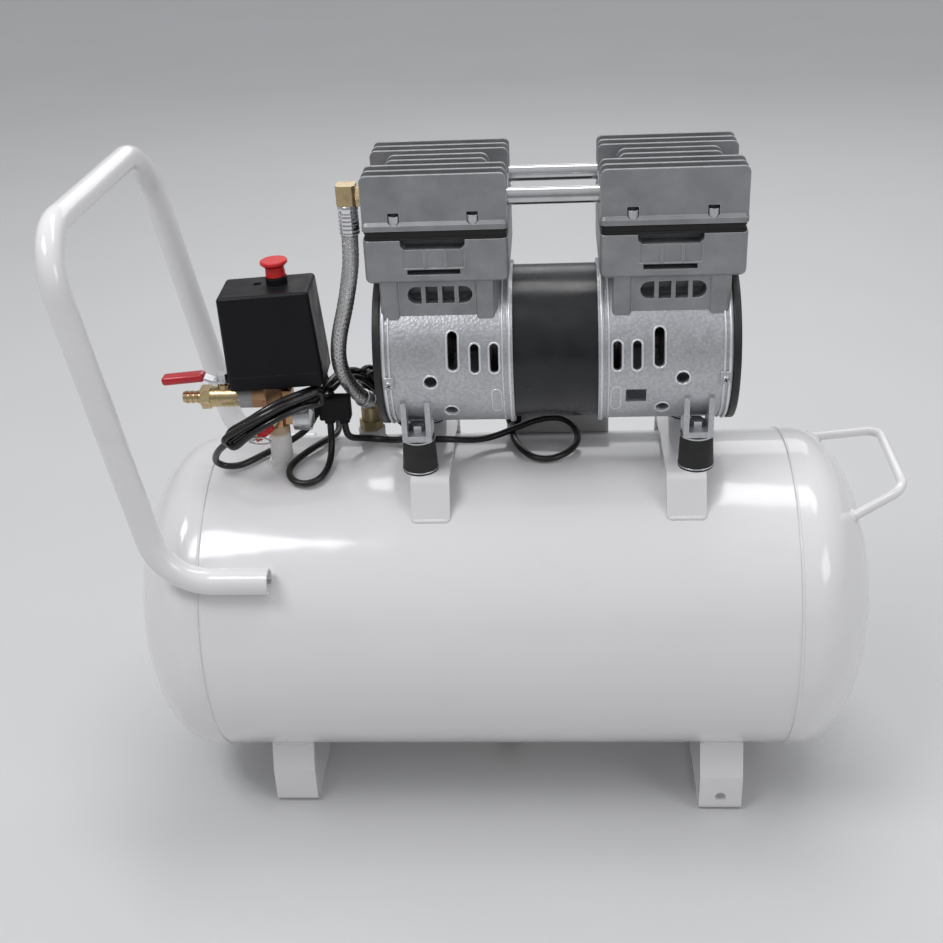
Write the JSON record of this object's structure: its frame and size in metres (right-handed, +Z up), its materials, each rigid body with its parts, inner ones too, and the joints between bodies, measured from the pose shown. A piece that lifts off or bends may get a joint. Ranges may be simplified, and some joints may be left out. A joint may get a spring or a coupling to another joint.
{
  "type": "air compressor",
  "caption": "Oil-free air compressor on a horizontal tank with a tow handle, pressure switch, ball valve, relief valve and strap feet.",
  "frame": {"origin": "on the floor at the centre of the four bolt holes in the strap feet, under the middle of the tank", "axes": "+X along the tank, away from the tow handle; +Y from the front towards the back; +Z up"},
  "size_m": [0.617, 0.2616, 0.53],
  "materials": {
    "tank_white": "gloss white enamel",
    "bell_silver": "silver hammered paint",
    "head_grey": "satin grey metallic",
    "black_paint": "satin black",
    "gasket": "matt",
    "zinc_steel": "zinc plated",
    "chrome": "polished",
    "brass": "machined",
    "black_plastic": "fine grain",
    "red_plastic": "gloss",
    "rubber_black": "matt",
    "cord_black": "semi-matt",
    "lead_black": "semi-matt",
    "braid": "woven wire",
    "iron_core": "laminated",
    "copper": "varnished windings",
    "aluminium": "cast",
    "clear": "clear",
    "grey_plastic": "light grey"
  },
  "bodies": {
    "frame": {"tank_shell": "tank_white", "tank_end_left": "tank_white", "tank_end_right": "tank_white", "tank_bungs": "tank_white", "foot_left": "tank_white", "foot_right": "tank_white", "saddle_left": "tank_white", "saddle_right": "tank_white", "tow_handle": "tank_white", "side_handle": "tank_white", "drain_valve_body": "brass", "motor_shell": "black_paint", "stator_core": "iron_core", "stator_windings": "copper", "bell_left": "bell_silver", "bell_right": "bell_silver", "end_rings": "black_plastic", "bearings": "zinc_steel", "cylinder_left": "head_grey", "cylinder_right": "head_grey", "valve_plates": "zinc_steel", "head_gaskets": "gasket", "head_cover_left": "head_grey", "head_cover_right": "head_grey", "head_screws": "zinc_steel", "transfer_pipes": "chrome", "rubber_mounts": "rubber_black", "mount_bolts": "zinc_steel", "capacitor_box": "grey_plastic", "manifold": "brass", "ball_valve_body": "brass", "hose_barb": "brass", "safety_valve_body": "red_plastic", "gauge_case": "chrome", "gauge_lens": "clear", "check_valve_body": "brass", "elbow_fitting": "brass", "braided_hose": "braid", "switch_base": "black_plastic", "switch_cover": "black_plastic", "switch_mechanism": "black_plastic", "cord_glands": "black_plastic", "power_cord_hank": "cord_black", "power_cord": "cord_black", "lead_to_cutout": "lead_black", "lead_to_motor": "lead_black", "overload_block": "black_plastic", "plug": "black_plastic"},
    "motor_shaft": {"rotor": "iron_core", "cooling_fans": "black_plastic", "eccentrics": "aluminium"},
    "left_piston": {"piston_left": "aluminium"},
    "right_piston": {"piston_right": "aluminium"},
    "switch_knob_body": {"switch_knob": "red_plastic"},
    "valve_lever": {"ball_valve_ball": "chrome", "ball_valve_lever": "zinc_steel", "lever_grip": "red_plastic"},
    "relief_pull": {"safety_valve_pull": "zinc_steel"},
    "drain_tap": {"drain_valve_tap": "brass"},
    "gauge_pointer": {"gauge_needle": "black_paint"}
  },
  "joints": [
    {"name": "shaft_spin", "type": "hinge", "parent": "frame", "child": "motor_shaft", "pos_m": [0.0474, 0, 0.386], "axis": [1, 0, 0], "continuous": true},
    {"name": "left_piston_stroke", "type": "slide", "parent": "frame", "child": "left_piston", "axis": [0, 0, 1], "range_m": [-0.008, 0.008]},
    {"name": "right_piston_stroke", "type": "slide", "parent": "frame", "child": "right_piston", "axis": [0, 0, 1], "range_m": [-0.008, 0.008]},
    {"name": "knob_pull", "type": "slide", "parent": "frame", "child": "switch_knob_body", "axis": [-0.0454, 0, 0.999], "range_m": [0, 0.006]},
    {"name": "valve_lever_turn", "type": "hinge", "parent": "frame", "child": "valve_lever", "pos_m": [-0.2105, -0.014, 0.35], "axis": [0, 0, 1], "range_deg": [0, 90]},
    {"name": "relief_pull_out", "type": "slide", "parent": "frame", "child": "relief_pull", "axis": [-0.7003, -0.6103, -0.3702], "range_m": [0, 0.003], "stiffness_N_per_m": 1200},
    {"name": "drain_tap_turn", "type": "hinge", "parent": "frame", "child": "drain_tap", "pos_m": [0, 0, 0.0125], "axis": [0, 0, -1], "range_deg": [0, 360]},
    {"name": "pointer_swing", "type": "hinge", "parent": "frame", "child": "gauge_pointer", "pos_m": [-0.1487, -0.014, 0.3335], "axis": [-1, 0, 0], "range_deg": [0, 270]}
  ]
}
